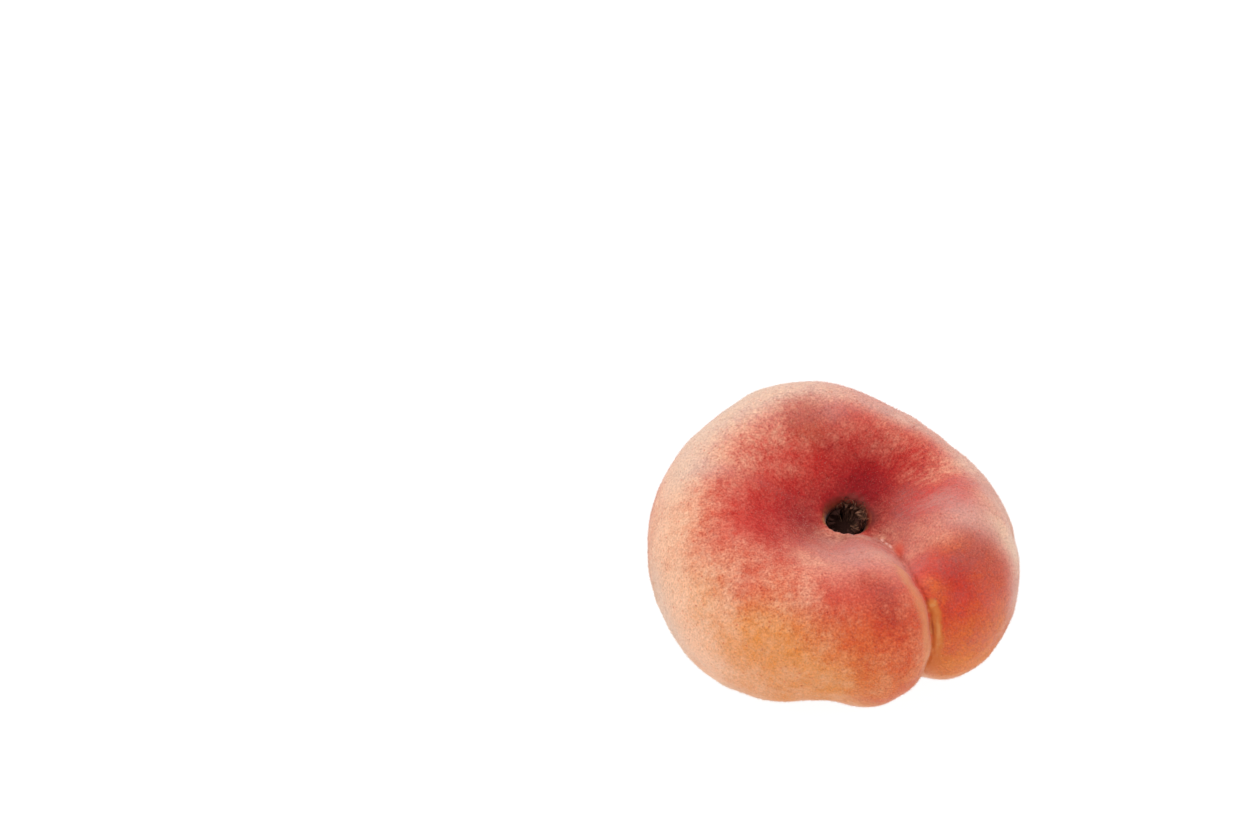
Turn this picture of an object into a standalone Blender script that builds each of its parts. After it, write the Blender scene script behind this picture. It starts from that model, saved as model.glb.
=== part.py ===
"""Flat peach at its real size: the fruit, the dried blossom in its hole and the stem stub underneath.

Metres, +Z up, standing on Z = 0 with the origin under the middle of the fruit. Blender 4.5.

The fruit is one closed surface. A profile runs from the blossom end on top, down into and out of the hole,
over the crest, down the side and up into the stem cavity. It is carried round an axis, and lobes, valleys
and the cleft are pushed out of it or into it along its normal. Directions are degrees anticlockwise from +X
seen from above, so -90 is the front. Places along the profile are stations: the number of a profile point.
"""

import math

import bmesh
import bpy
import numpy as np

MM = 0.001

# Profile points (radius, height) in millimetres, from the blossom end to the stem end.
HOLE_FLOOR = [(0.0, 3.0), (2.2, 3.0), (3.5, 3.5)]
HOLE_WALL = [(3.8, 5.4), (3.9, 7.3), (4.3, 8.5)]
BASIN = [(5.7, 9.2), (8.7, 10.7), (12.6, 13.5), (17.1, 16.5)]
CREST_AND_SIDE = [(22.1, 18.0), (28.0, 16.1), (32.6, 9.7), (34.5, 0.9), (33.2, -7.9), (28.7, -14.8)]
FOOT_RING = [(22.2, -18.5), (15.3, -18.5)]
STEM_CAVITY = [(10.0, -15.3), (6.7, -10.7), (3.9, -7.6), (0.0, -7.0)]
PROFILE = HOLE_FLOOR + HOLE_WALL + BASIN + CREST_AND_SIDE + FOOT_RING + STEM_CAVITY
LAST_STATION = len(PROFILE) - 1

# Lobes of the outline seen from above: how many times round, share of the radius, direction of the first.
# A fade is a pair: the station where it starts, and the stations that it takes.
PLAN_WAVES = [
    (1, 0.101, -136),
    (2, 0.046, -6),
    (3, 0.011, 1),
    (4, 0.030, 32),
    (5, 0.023, 24),
]
PLAN_FADES_IN = (5.0, 6.0)

# Swellings and hollows: direction, station, spread in degrees, spread in stations, height in millimetres.
SWELLINGS = {
    "far hump": (106, 10.8, 40, 3.0, 0.7),
    "near lip": (-105, 9.3, 40, 2.4, 1.2),
    "right lobe": (-23, 11.8, 24, 3.6, 2.2),
    "front lobe": (-78, 12.4, 20, 4.0, 1.8),
    "flat upper right": (31, 12.4, 26, 3.4, -4.0),
    "dip at the front": (-98, 14.5, 11, 2.6, -1.4),
    "valley to the left": (178, 9.3, 24, 2.2, -1.0),
    "valley to the right": (11, 9.6, 20, 2.2, -1.5),
    "tuck under the front lobe": (-66, 14.6, 12, 2.2, -2.5),
}

# The cleft starts at the hole's rim, swings towards the front and dies out under the fruit.
CLEFT_START = 5.0
CLEFT_DIRECTION = -48.2
CLEFT_CURL = 14.65
CLEFT_BOW = -7.9
CLEFT_LENGTH = 8.0
CLEFT_DEPTH = 3.7
CLEFT_SHARE_AT_RIM = 0.6
CLEFT_SHARE_LOW = 0.25
CLEFT_FADES_IN = (3.6, 2.4)
CLEFT_DEEPENS = (5.5, 3.0)
CLEFT_FADES_OUT = (13.5, 3.5)
CLEFT_FLOOR = 0.25
LEFT_WALL = 2.4
RIGHT_WALL = 6.0
RIGHT_WALL_LOW = 3.4
RIGHT_WALL_STEEPENS = (10.0, 4.5)
LIP_HEIGHT = 1.2
LIP_OFFSET = 4.6
LIP_WIDTH = 4.2
LIP_FADES_IN = (4.6, 2.4)
LIP_FADES_OUT = (11.5, 3.5)

# The fruit is thicker at the back, so that it leans towards the front on a level foot ring.
WEDGE = 2.7
WEDGE_RADIUS = 22.0
WEDGE_FADES_IN = (11.0, 5.0)
LEAN = 7.0
FLAT_SPOT_DEPTH = 0.7

MERIDIANS = 88
RINGS = 46
CROWDING = 0.5

# Dried blossom: a pad on the hole's floor, with shreds standing along the far and right walls.
PAD_RADIUS = 2.9
PAD_BOTTOM = 3.45
PAD_THICKNESS = 1.1
PAD_FOLDS = 4
PAD_FOLD_SHARE = 0.12
SHRED_COUNT = 13
SHRED_FROM = -48.0
SHRED_TO = 172.0
SHRED_PATH = [(1.9, 4.0), (2.6, 4.9), (2.85, 6.3), (2.75, 7.7), (2.2, 8.8)]
SHRED_WIDTH = 1.15
SHRED_THICKNESS = 0.62
SHRED_REACH = (0.72, 1.02)
SHRED_SWAY = 5.0
SHRED_TWIST = 22.0
SHRED_SEED = 7

# Stem stub in the cavity underneath: (radius, height) in millimetres from its top to its torn end.
STUB_TOP = [(0.0, -8.3), (1.9, -8.3), (2.5, -8.8), (2.2, -9.9)]
STUB_SHAFT = [(1.9, -11.4), (1.9, -13.0), (2.1, -14.1), (0.0, -14.3)]
STUB_PROFILE = STUB_TOP + STUB_SHAFT
STUB_BEND = 0.5
STUB_RIBS = 5
STUB_RIB_SHARE = 0.07
STUB_OVAL_SHARE = 0.05
STUB_TORN_FROM = 0.75
STUB_TORN_SHARE = 0.16


def spline(points, t):
    """Uniform cubic B-spline through t = 0 to 1, mirrored at both ends, and its slope."""
    points = np.asarray(points, float)
    before = points[1] * (-1, 1)
    after = points[-2] * (-1, 1)
    held = np.vstack([before, points, after])
    spans = len(points) - 1
    at = np.clip(np.asarray(t) * spans, 0, spans - 1e-9)
    first = at.astype(int)
    f = (at - first)[:, None]
    weights = ((1 - f) ** 3, 3 * f**3 - 6 * f**2 + 4, -3 * f**3 + 3 * f**2 + 3 * f + 1, f**3)
    slopes = (-3 * (1 - f) ** 2, 9 * f**2 - 12 * f, -9 * f**2 + 6 * f + 3, 3 * f**2)
    place = sum(w * held[first + k] for k, w in enumerate(weights)) / 6
    slope = sum(w * held[first + k] for k, w in enumerate(slopes)) / 6
    return place, slope


def smooth_step(x):
    """0 below 0, 1 above 1, and an S curve between."""
    x = np.clip(x, 0, 1)
    return x * x * (3 - 2 * x)


def fade(station, start_and_length):
    """0 before the fade starts, 1 after its length."""
    start, length = start_and_length
    return smooth_step((station - start) / length)


def turn(degrees):
    """The same direction between -180 and 180."""
    return (degrees + 180) % 360 - 180


def cleft_direction(station):
    """Direction of the cleft's floor at a station."""
    u = np.clip((station - CLEFT_START) / CLEFT_LENGTH, 0, 1)
    return CLEFT_DIRECTION + CLEFT_CURL * np.cos(math.pi * u) + CLEFT_BOW * np.sin(math.pi * u) ** 2


def cleft_push(arc, station):
    """How far the cleft and the bulging lip left of it push the skin, at an arc length from the cleft's floor."""
    share = fade(station, CLEFT_FADES_IN)
    share = share * (CLEFT_SHARE_AT_RIM + (1 - CLEFT_SHARE_AT_RIM) * fade(station, CLEFT_DEEPENS))
    share = share * (1 - (1 - CLEFT_SHARE_LOW) * fade(station, CLEFT_FADES_OUT))
    right_wall = RIGHT_WALL + (RIGHT_WALL_LOW - RIGHT_WALL) * fade(station, RIGHT_WALL_STEEPENS)
    wall = np.where(arc < 0, LEFT_WALL, right_wall)
    away = np.sqrt(arc**2 + CLEFT_FLOOR**2) - CLEFT_FLOOR
    groove = -CLEFT_DEPTH * np.exp(-away / wall)
    lip = LIP_HEIGHT * np.exp(-(((arc + LIP_OFFSET) / LIP_WIDTH) ** 2))
    lip_share = fade(station, LIP_FADES_IN) * (1 - fade(station, LIP_FADES_OUT))
    return share * groove + lip_share * lip


def fruit_surface(around, t):
    """Points of the skin in millimetres, for directions around the axis and t = 0 to 1 down the profile."""
    place, slope = spline(PROFILE, t)
    normal = np.stack([-slope[:, 1], slope[:, 0]], axis=1)
    normal /= np.linalg.norm(normal, axis=1, keepdims=True)
    radius, height = place[:, 0], place[:, 1]
    station = t * LAST_STATION
    push = cleft_push(np.radians(turn(around - cleft_direction(station))) * radius, station)
    for direction, at, spread, along, swell in SWELLINGS.values():
        push = push + swell * np.exp(-((turn(around - direction) / spread) ** 2) - ((station - at) / along) ** 2)
    plan = np.ones_like(radius)
    plan_share = fade(station, PLAN_FADES_IN)
    for times, share, direction in PLAN_WAVES:
        plan = plan + plan_share * share * np.cos(np.radians(times * (around - direction)))
    r = radius * plan + normal[:, 0] * push
    z = height + normal[:, 1] * push
    turned = np.radians(around)
    z = z - WEDGE * np.sin(turned) * fade(station, WEDGE_FADES_IN) * np.clip(r / WEDGE_RADIUS, 0, 1)
    return np.stack([r * np.cos(turned), r * np.sin(turned), z], axis=1)


def sphere_object(name, segments, rings, surface):
    """An object whose UV sphere is reshaped by surface(direction in degrees, t from the top), in millimetres."""
    mesh = bpy.data.meshes.new(name)
    bm = bmesh.new()
    bmesh.ops.create_uvsphere(bm, u_segments=segments, v_segments=rings, radius=1.0)
    unit = np.array([vertex.co for vertex in bm.verts])
    direction = np.degrees(np.arctan2(unit[:, 1], unit[:, 0]))
    t = np.arccos(np.clip(unit[:, 2], -1, 1)) / math.pi
    for vertex, co in zip(bm.verts, surface(direction, t) * MM):
        vertex.co = co
    bmesh.ops.recalc_face_normals(bm, faces=bm.faces)
    bm.to_mesh(mesh)
    bm.free()
    mesh.shade_smooth()
    return bpy.data.objects.new(name, mesh)


def material(name, colour, roughness):
    """A plain Principled material."""
    made = bpy.data.materials.new(name)
    made.use_nodes = True
    shader = made.node_tree.nodes["Principled BSDF"]
    shader.inputs["Base Color"].default_value = (*colour, 1.0)
    shader.inputs["Roughness"].default_value = roughness
    shader.inputs["Metallic"].default_value = 0.0
    return made


def fruit():
    """The whole fruit, its meridians following the cleft and crowding towards it."""

    def surface(direction, t):
        crowded = direction - CROWDING * np.degrees(np.sin(np.radians(direction)))
        return fruit_surface(cleft_direction(t * LAST_STATION) + crowded, t)

    made = sphere_object("fruit", MERIDIANS, RINGS, surface)
    made.data.materials.append(material("peach_skin", (0.78, 0.27, 0.13), 0.75))
    return made


def blossom_pad():
    """The corky disc on the hole's floor, rough on top."""

    def surface(direction, t):
        polar = t * math.pi
        a = np.radians(direction)
        r = PAD_RADIUS * np.sin(polar) * (1 + 0.04 * np.cos(3 * a + 1.0) + 0.03 * np.cos(7 * a))
        folds = 1 + PAD_FOLD_SHARE * np.sin(PAD_FOLDS * a) * np.sin(polar)
        z = PAD_BOTTOM + PAD_THICKNESS * (0.5 + 0.5 * np.cos(polar)) * folds
        return np.stack([r * np.cos(a), r * np.sin(a), z], axis=1)

    return sphere_object("blossom_remnant", 24, 12, surface)


def blossom_shred(number, direction, reach, twist):
    """One dried shred: a flat tapering strip along the hole's wall, curling in at its tip."""
    path = np.array(SHRED_PATH)
    path[:, 1] = path[0, 1] + (path[:, 1] - path[0, 1]) * reach

    def surface(side, t):
        middle, slope = spline(path, t)
        slope = slope / np.linalg.norm(slope, axis=1, keepdims=True)
        taper = np.sin(t * math.pi) ** 0.6 * (1 - 0.45 * t)
        wide = 0.5 * SHRED_WIDTH * taper * np.cos(np.radians(side))
        thick = 0.5 * SHRED_THICKNESS * taper * np.sin(np.radians(side))
        r = middle[:, 0] + thick * slope[:, 1]
        z = middle[:, 1] - thick * slope[:, 0]
        a = math.radians(direction) + np.radians(twist) * t**2
        return np.stack([r * np.cos(a) - wide * np.sin(a), r * np.sin(a) + wide * np.cos(a), z], axis=1)

    return sphere_object(f"shred_{number}", 8, 8, surface)


def blossom_remnant(scene_collection):
    """The pad and its shreds, joined in one solid."""
    random = np.random.default_rng(SHRED_SEED)
    shreds = bpy.data.collections.new("shreds")
    scene_collection.children.link(shreds)
    for number, direction in enumerate(np.linspace(SHRED_FROM, SHRED_TO, SHRED_COUNT)):
        sway = random.uniform(-SHRED_SWAY, SHRED_SWAY)
        reach = random.uniform(*SHRED_REACH)
        twist = random.uniform(-SHRED_TWIST, SHRED_TWIST)
        shreds.objects.link(blossom_shred(number, direction + sway, reach, twist))
    made = blossom_pad()
    scene_collection.objects.link(made)
    union = made.modifiers.new("join_shreds", "BOOLEAN")
    union.operation = "UNION"
    union.operand_type = "COLLECTION"
    union.collection = shreds
    union.solver = "EXACT"
    bpy.context.view_layer.update()
    joined = bpy.data.meshes.new_from_object(made.evaluated_get(bpy.context.evaluated_depsgraph_get()))
    made.modifiers.clear()
    made.data = joined
    for shred in list(shreds.objects):
        bpy.data.objects.remove(shred)
    bpy.data.collections.remove(shreds)
    scene_collection.objects.unlink(made)
    made.data.materials.append(material("dried_blossom", (0.12, 0.07, 0.03), 0.9))
    return made


def stem_stub():
    """The short woody stub, ribbed, a little bent and torn at its lower end."""

    def surface(direction, t):
        place, _ = spline(STUB_PROFILE, t)
        a = np.radians(direction)
        r = place[:, 0] * (1 + STUB_RIB_SHARE * np.cos(STUB_RIBS * a) + STUB_OVAL_SHARE * np.cos(2 * a + 0.6))
        length = STUB_PROFILE[0][1] - STUB_PROFILE[-1][1]
        down = (STUB_PROFILE[0][1] - place[:, 1]) / length
        torn = smooth_step((down - STUB_TORN_FROM) / (1 - STUB_TORN_FROM)) * place[:, 0] * STUB_TORN_SHARE
        z = place[:, 1] + torn * (np.cos(2 * a - 0.7) + 0.6 * np.cos(5 * a))
        return np.stack([r * np.cos(a) + STUB_BEND * down**2, r * np.sin(a), z], axis=1)

    made = sphere_object("stem_stub", 24, 18, surface)
    made.data.materials.append(material("stem_wood", (0.23, 0.17, 0.08), 0.85))
    return made


def floor_cutter():
    """A slab under Z = 0 that flattens what the fruit rests on."""
    mesh = bpy.data.meshes.new("floor_cutter")
    bm = bmesh.new()
    bmesh.ops.create_cube(bm, size=1.0)
    bmesh.ops.scale(bm, vec=(140 * MM, 140 * MM, 20 * MM), verts=bm.verts)
    bmesh.ops.translate(bm, vec=(0, 0, -10 * MM), verts=bm.verts)
    bm.to_mesh(mesh)
    bm.free()
    made = bpy.data.objects.new("floor_cutter", mesh)
    made.hide_render = True
    made.display_type = "WIRE"
    return made


def stand(frame, body):
    """Leans the frame towards the front and drops it, so that the body stands on Z = 0 round the origin."""
    lean = math.radians(LEAN)
    co = np.empty(len(body.data.vertices) * 3)
    body.data.vertices.foreach_get("co", co)
    x, y, z = co.reshape(-1, 3).T
    leaned = np.stack([x, y * math.cos(lean) - z * math.sin(lean), y * math.sin(lean) + z * math.cos(lean)])
    middle = (leaned.min(axis=1) + leaned.max(axis=1)) / 2
    frame.rotation_euler = (lean, 0, 0)
    frame.location = (-middle[0], -middle[1], -leaned[2].min() - FLAT_SPOT_DEPTH * MM)


def main():
    for old in list(bpy.data.objects):
        bpy.data.objects.remove(old)
    peach = bpy.data.collections.new("flat_peach")
    cutters = bpy.data.collections.new("cutters")
    bpy.context.scene.collection.children.link(peach)
    bpy.context.scene.collection.children.link(cutters)

    frame = bpy.data.objects.new("peach_frame", None)
    peach.objects.link(frame)
    body = fruit()
    stand(frame, body)
    for piece in (body, blossom_remnant(peach), stem_stub()):
        peach.objects.link(piece)
        piece.parent = frame

    cutter = floor_cutter()
    cutters.objects.link(cutter)
    flat = body.modifiers.new("flat_spot", "BOOLEAN")
    flat.operation = "DIFFERENCE"
    flat.object = cutter
    flat.solver = "EXACT"


main()
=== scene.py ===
"""Flat peach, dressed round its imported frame: downy skin, dried blossom, stem stub and a pale studio.

The fruit's surface is one formula, the same as the solid's: a profile carried round an axis, with lobes,
valleys and a cleft pushed along its normal. Directions are degrees anticlockwise from +X seen from above,
so -90 is the front. Stations number the profile's points, from the blossom end (0) to the stem end (21).
The formula works in millimetres, and every mesh is in metres in the frame's own axes.
"""

import logging
import math
from dataclasses import dataclass, field
from enum import Enum
from typing import Any, Iterable, Sequence

import bpy
import numpy as np
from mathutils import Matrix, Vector


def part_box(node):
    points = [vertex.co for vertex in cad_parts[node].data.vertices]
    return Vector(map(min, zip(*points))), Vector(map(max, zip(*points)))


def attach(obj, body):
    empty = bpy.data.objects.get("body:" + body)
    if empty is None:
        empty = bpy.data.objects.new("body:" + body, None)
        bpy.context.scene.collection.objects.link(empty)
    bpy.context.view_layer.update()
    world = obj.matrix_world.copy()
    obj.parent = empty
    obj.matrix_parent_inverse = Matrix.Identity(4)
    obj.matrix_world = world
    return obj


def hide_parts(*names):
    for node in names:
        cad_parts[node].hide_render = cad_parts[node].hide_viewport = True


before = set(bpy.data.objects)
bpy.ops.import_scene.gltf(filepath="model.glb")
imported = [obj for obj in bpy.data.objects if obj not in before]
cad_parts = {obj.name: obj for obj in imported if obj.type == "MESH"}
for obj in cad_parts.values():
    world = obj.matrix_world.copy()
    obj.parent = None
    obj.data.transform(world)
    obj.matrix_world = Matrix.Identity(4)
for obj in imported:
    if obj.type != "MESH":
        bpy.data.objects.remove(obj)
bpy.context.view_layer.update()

MM = 0.001
ROOT = "root"
Array = np.ndarray
Colour = tuple[float, float, float]
Piece = bpy.types.Object
Draw = np.random.Generator
Shred = tuple[Array, list[Array], Array]
Lines = tuple[Array, Array, Array]
WHITE = (1.0, 1.0, 1.0, 1.0)
log = logging.getLogger("flat_peach")


def srgb(red: int, green: int, blue: int) -> Colour:
    """Linear light, 0 to 1, of a colour of 0 to 255 a channel as a screen shows it."""
    shown = np.array([red, green, blue]) / 255
    return tuple(np.where(shown <= 0.04045, shown / 12.92, ((shown + 0.055) / 1.055) ** 2.4).tolist())


def smooth_step(x: Array) -> Array:
    """0 below 0, 1 above 1, and an S curve between."""
    held = np.clip(x, 0, 1)
    return held * held * (3 - 2 * held)


def bell(x: Array) -> Array:
    """exp(-x^2): 1 in the middle and near 0 beyond 2."""
    return np.exp(-(x**2))


def turn(degrees: Array) -> Array:
    """The same direction between -180 and 180 degrees."""
    return (degrees + 180) % 360 - 180


def carried(radius: Array, angle: Array, height: Array) -> Array:
    """Points at a radius, an angle in radians and a height, with one more axis of length 3."""
    sides = (radius * np.cos(angle), radius * np.sin(angle), height)
    return np.stack(np.broadcast_arrays(*sides), axis=-1)


def spline(points: Sequence[Sequence[float]], t: Array) -> tuple[Array, Array]:
    """Uniform cubic B-spline of a profile (radius, height) that is mirrored across the axis at both ends.

    Args:
        points: control points.
        t: places along it, 0 to 1.

    Returns:
        The places and the slopes there.
    """
    control = np.asarray(points, float)
    held = np.vstack([control[1] * (-1, 1), control, control[-2] * (-1, 1)])
    spans = len(control) - 1
    at = np.clip(np.asarray(t, float) * spans, 0, spans - 1e-9)
    first = at.astype(int)
    f = (at - first)[..., None]
    weights = ((1 - f) ** 3, 3 * f**3 - 6 * f**2 + 4, -3 * f**3 + 3 * f**2 + 3 * f + 1, f**3)
    slopes = (-3 * (1 - f) ** 2, 9 * f**2 - 12 * f, -9 * f**2 + 6 * f + 3, 3 * f**2)
    place = sum(weight * held[first + k] for k, weight in enumerate(weights)) / 6
    slope = sum(weight * held[first + k] for k, weight in enumerate(slopes)) / 6
    return place, slope


def unit(vectors: Array) -> Array:
    """The same vectors with length 1."""
    return vectors / np.maximum(np.linalg.norm(vectors, axis=-1, keepdims=True), 1e-12)


class Ripples:
    """A smooth, uneven field over space: the sum of sine waves that run in seeded directions."""

    def __init__(self, wavelength: float, seed: int, count: int = 22) -> None:
        """Draws the waves.

        Args:
            wavelength: middle wavelength in millimetres. Each wave is 0.6 to 1.6 times as long.
            seed: of the random draw.
            count: number of waves.
        """
        draw = np.random.default_rng(seed)
        length = wavelength * draw.uniform(0.6, 1.6, count)
        self.waves = unit(draw.normal(size=(count, 3))) * (2 * math.pi / length)[:, None]
        self.phases = draw.uniform(0, 2 * math.pi, count)
        self.share = math.sqrt(2 / count)

    def at(self, points: Array) -> Array:
        """The field at points in millimetres, with a spread of about 1 round 0."""
        return self.share * np.sin(points @ self.waves.T + self.phases).sum(axis=-1)


@dataclass(frozen=True)
class Fade:
    """An S curve from 0 at its start to 1 when it is over."""

    start: float
    over: float

    def at(self, x: Array) -> Array:
        """Its value at x."""
        return smooth_step((x - self.start) / self.over)


def between(x: Array, rise: Fade, fall: Fade) -> Array:
    """1 after the rise and before the fall, and 0 outside both."""
    return rise.at(x) * (1 - fall.at(x))


@dataclass(frozen=True)
class Patch:
    """A soft-edged place on the fruit: strength times exp(-(turn / spread)^2 - (stations / along)^2)."""

    direction: float
    station: float
    spread: float
    along: float
    strength: float

    def at(self, around: Array, station: Array) -> Array:
        """Its strength at directions and stations."""
        sideways = turn(around - self.direction) / self.spread
        lengthways = (station - self.station) / self.along
        return self.strength * np.exp(-(sideways**2) - lengthways**2)


def patches(*rows: tuple[float, ...]) -> tuple[Patch, ...]:
    """Patches from rows of direction, station, spread, along and strength."""
    return tuple(Patch(*row) for row in rows)


def patched(places: Iterable[Patch], around: Array, station: Array) -> Array:
    """The sum of several patches at directions and stations."""
    return sum((patch.at(around, station) for patch in places), np.zeros_like(around))


@dataclass(frozen=True)
class Cleft:
    """The fold that starts at the hole's rim, swings towards the front and dies out under the fruit."""

    start: float = 5.0
    length: float = 8.0
    direction: float = -48.2
    curl: float = 14.65
    bow: float = -7.9
    depth: float = 3.7
    share_at_rim: float = 0.6
    share_low: float = 0.25
    opens: Fade = Fade(3.6, 2.4)
    deepens: Fade = Fade(5.5, 3.0)
    dies_out: Fade = Fade(13.5, 3.5)
    left_wall: float = 2.4
    right_wall: float = 6.0
    right_wall_low: float = 3.4
    narrows: Fade = Fade(10.0, 4.5)
    floor: float = 0.25
    kink: float = 2.7
    kink_station: float = 10.9
    kink_along: float = 1.4
    lip_height: float = 1.2
    lip_offset: float = 4.6
    lip_width: float = 4.2
    lip_rises: Fade = Fade(4.6, 2.4)
    lip_ends: Fade = Fade(11.5, 3.5)

    def direction_at(self, station: Array) -> Array:
        """Direction of its floor: a cosine swing, a bow, and a small kink where the lip juts out."""
        u = math.pi * np.clip((station - self.start) / self.length, 0, 1)
        kink = self.kink * bell((station - self.kink_station) / self.kink_along)
        return self.direction + self.curl * np.cos(u) + self.bow * np.sin(u) ** 2 + kink

    def push(self, arc: Array, station: Array) -> Array:
        """How far it moves the skin: down in the fold as exp(-distance / wall), and up in the lip.

        Args:
            arc: arc length in millimetres from its floor, positive to the right.
            station: stations of the same points.

        Returns:
            Millimetres along the normal.
        """
        depth = self.opens.at(station)
        depth = depth * (self.share_at_rim + (1 - self.share_at_rim) * self.deepens.at(station))
        depth = depth * (1 - (1 - self.share_low) * self.dies_out.at(station))
        right = self.right_wall + (self.right_wall_low - self.right_wall) * self.narrows.at(station)
        wall = np.where(arc < 0, self.left_wall, right)
        away = np.sqrt(arc**2 + self.floor**2) - self.floor
        lip = self.lip_height * bell((arc + self.lip_offset) / self.lip_width)
        lip_share = between(station, self.lip_rises, self.lip_ends)
        return lip_share * lip - depth * self.depth * np.exp(-away / wall)


@dataclass(frozen=True)
class FruitForm:
    """The fruit's surface, from a direction and a place along the profile, and where it stands."""

    hole: tuple = ((0.0, 3.0), (2.2, 3.0), (3.5, 3.5), (3.8, 5.4), (3.9, 7.3), (4.3, 8.5))
    basin: tuple = ((5.7, 9.2), (8.7, 10.7), (12.6, 13.5), (17.1, 16.5))
    side: tuple = ((22.1, 18.0), (28.0, 16.1), (32.6, 9.7), (34.5, 0.9), (33.2, -7.9), (28.7, -14.8))
    foot: tuple = ((22.2, -18.5), (15.3, -18.5))
    cavity: tuple = ((10.0, -15.3), (6.7, -10.7), (3.9, -7.6), (0.0, -7.0))
    plan_waves: tuple = ((1, 0.101, -136), (2, 0.046, -6), (3, 0.011, 1), (4, 0.030, 32), (5, 0.023, 24))
    swellings: tuple = patches(
        (106, 10.8, 40, 3.0, 0.7), (-105, 9.3, 40, 2.4, 1.2), (-23, 11.8, 24, 3.6, 2.2),
        (-78, 12.4, 20, 4.0, 1.8), (31, 12.4, 26, 3.4, -4.0), (-98, 14.5, 11, 2.6, -1.4),
        (178, 9.3, 24, 2.2, -1.0), (11, 9.6, 20, 2.2, -1.5), (-66, 14.6, 12, 2.2, -2.5),
    )
    cleft: Cleft = Cleft()
    widens: Fade = Fade(5.0, 6.0)
    wedge: float = 2.7
    wedge_radius: float = 22.0
    wedge_grows: Fade = Fade(11.0, 5.0)
    lean: float = 7.0
    flat_spot_depth: float = 0.7
    crowding: float = 0.75

    @property
    def profile(self) -> list[tuple[float, float]]:
        """All the profile's control points."""
        return [*self.hole, *self.basin, *self.side, *self.foot, *self.cavity]

    @property
    def last_station(self) -> int:
        """Number of the profile's last point."""
        return len(self.profile) - 1

    def arc(self, around: Array, station: Array) -> Array:
        """Arc length in millimetres from the cleft's floor, positive to its right."""
        place, _ = spline(self.profile, station / self.last_station)
        return np.radians(turn(around - self.cleft.direction_at(station))) * place[..., 0]

    def own(self, around: Array, t: Array) -> Array:
        """Points in millimetres in the fruit's own axes, before it leans.

        The profile's radius is widened by the plan's waves, and each point is pushed along the profile's
        normal by the swellings and the cleft. Low down, the wedge lets the back hang below the front.

        Args:
            around: directions.
            t: places along the profile, 0 to 1, in the same shape.

        Returns:
            Points, with one more axis of length 3.
        """
        place, slope = spline(self.profile, t)
        normal = unit(np.stack([-slope[..., 1], slope[..., 0]], axis=-1))
        station = t * self.last_station
        arc = np.radians(turn(around - self.cleft.direction_at(station))) * place[..., 0]
        push = self.cleft.push(arc, station) + patched(self.swellings, around, station)
        waves = sum(
            share * np.cos(np.radians(lobes * (around - towards)))
            for lobes, share, towards in self.plan_waves
        )
        r = place[..., 0] * (1 + self.widens.at(station) * waves) + normal[..., 0] * push
        z = place[..., 1] + normal[..., 1] * push
        low = self.wedge_grows.at(station) * np.clip(r / self.wedge_radius, 0, 1)
        angle = np.radians(around)
        return carried(r, angle, z - self.wedge * np.sin(angle) * low)

    def leaned(self, points: Array) -> Array:
        """Points or vectors turned about X by the lean, top to the front."""
        c, s = math.cos(math.radians(self.lean)), math.sin(math.radians(self.lean))
        x, y, z = np.moveaxis(points, -1, 0)
        return np.stack([x, y * c - z * s, y * s + z * c], axis=-1)

    def grid(self, rows: int, columns: int) -> tuple[Array, Array]:
        """Directions and places of a grid whose columns follow the cleft and crowd towards it."""
        t = np.linspace(0, 1, rows + 1)
        turns = np.linspace(-180, 180, columns, endpoint=False)
        crowded = turns - self.crowding * np.degrees(np.sin(np.radians(turns)))
        around = self.cleft.direction_at(t * self.last_station)[:, None] + crowded[None, :]
        return turn(around), np.broadcast_to(t[:, None], around.shape).copy()

    def standing_offset(self, low: Vector, high: Vector) -> Array:
        """Where the fruit's own origin stands in the frame, from the CAD fruit's box, in millimetres.

        Args:
            low: lowest corner of the CAD fruit in metres.
            high: highest corner.

        Returns:
            The offset that centres the leaned surface on the box and sinks its lowest point.
        """
        points = self.leaned(self.own(*self.grid(rows=200, columns=240))).reshape(-1, 3)
        middle = (points.min(axis=0) + points.max(axis=0)) / 2
        box_middle = (np.array(low) + np.array(high)) / 2 / MM
        drop = -points[:, 2].min() - self.flat_spot_depth
        return np.array([box_middle[0] - middle[0], box_middle[1] - middle[1], drop])


@dataclass
class Stand:
    """Puts points of the fruit's own axes where the fruit stands in the frame."""

    form: FruitForm
    offset: Array = field(init=False)

    def __post_init__(self) -> None:
        """Reads the CAD fruit's box once."""
        self.offset = self.form.standing_offset(*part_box("fruit"))

    def place(self, points: Array, press: bool = False) -> Array:
        """Leans and moves points in millimetres, and with press, lays what is under the floor on it."""
        placed = self.form.leaned(points) + self.offset
        if press:
            placed[..., 2] = np.maximum(placed[..., 2], 0)
        return placed


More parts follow.
